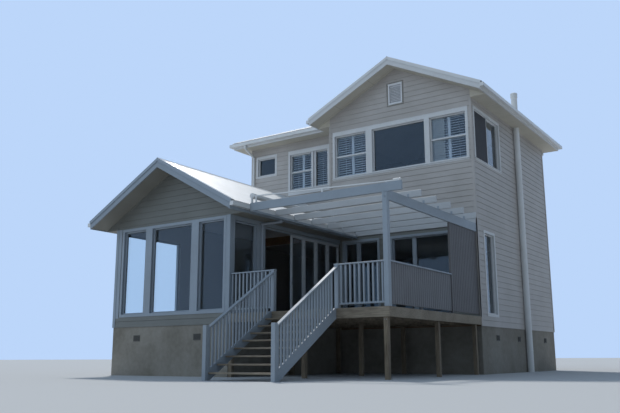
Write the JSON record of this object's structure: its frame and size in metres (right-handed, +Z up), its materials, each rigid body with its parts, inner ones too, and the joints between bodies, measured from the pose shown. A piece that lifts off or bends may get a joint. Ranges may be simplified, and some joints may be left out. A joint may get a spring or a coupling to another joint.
{
  "type": "two-storey beach house with pergola deck",
  "caption": "Two-storey weatherboard house with a gabled block, hipped left section, glazed gabled wing, and a raised deck with pergola, screens and stair.",
  "frame": {"origin": "on the ground below the middle of the whole outline, gutters and stair foot included", "axes": "+X to the right seen from the front, +Y from the front to the rear, +Z up"},
  "size_m": [9.85, 14.77, 9.4671],
  "materials": {
    "base": "rendered masonry, matt",
    "floor": "boarded floor, satin",
    "weatherboard": "painted weatherboards, satin",
    "roof_sheet": "corrugated steel, satin",
    "soffit_lining": "painted boards, matt",
    "white_timber": "painted timber, satin",
    "white_metal": "painted sheet metal, satin",
    "glass": "clear",
    "deck_timber": "weathered timber",
    "screen_timber": "painted boards, matt"
  },
  "bodies": {
    "root": {"base_walls": "base", "ground_floor": "floor", "upper_floor": "floor", "wing_front_wall": "weatherboard", "wing_right_wall": "weatherboard", "wing_left_wall": "weatherboard", "left_side_wall": "weatherboard", "ground_rear_wall": "weatherboard", "ground_right_wall": "weatherboard", "deck_wall": "weatherboard", "upper_front_wall": "weatherboard", "upper_right_wall": "weatherboard", "upper_rear_wall": "weatherboard", "upper_left_walls": "weatherboard", "main_roof": "roof_sheet", "wing_roof": "roof_sheet", "upper_fascias": "white_timber", "wing_fascias": "white_timber", "soffits": "soffit_lining", "upper_gutters": "white_metal", "wing_gutters": "white_metal", "ridge_caps": "roof_sheet", "downpipes": "white_metal", "flue_pipe": "white_metal", "gable_vent": "white_timber", "wing_front_frames": "white_timber", "wing_side_frames": "white_timber", "folding_doors": "white_timber", "deck_wall_frames": "white_timber", "upper_front_frames": "white_timber", "left_section_frames": "white_timber", "side_frames": "white_timber", "rear_frames": "white_timber", "ground_glass": "glass", "upper_glass": "glass", "window_shutters": "white_timber", "deck_floor": "deck_timber", "deck_frame": "deck_timber", "deck_posts": "deck_timber", "stair_strings": "white_timber", "stair_treads": "deck_timber", "left_balustrade": "white_timber", "front_balustrade": "white_timber", "stair_balustrades": "white_timber", "low_screen": "screen_timber", "high_screen": "screen_timber", "pergola_post": "white_timber", "pergola_beams": "white_timber", "pergola_rafters": "white_timber", "shade_cassette": "white_metal", "shade_guide": "white_metal"}
  },
  "joints": []
}
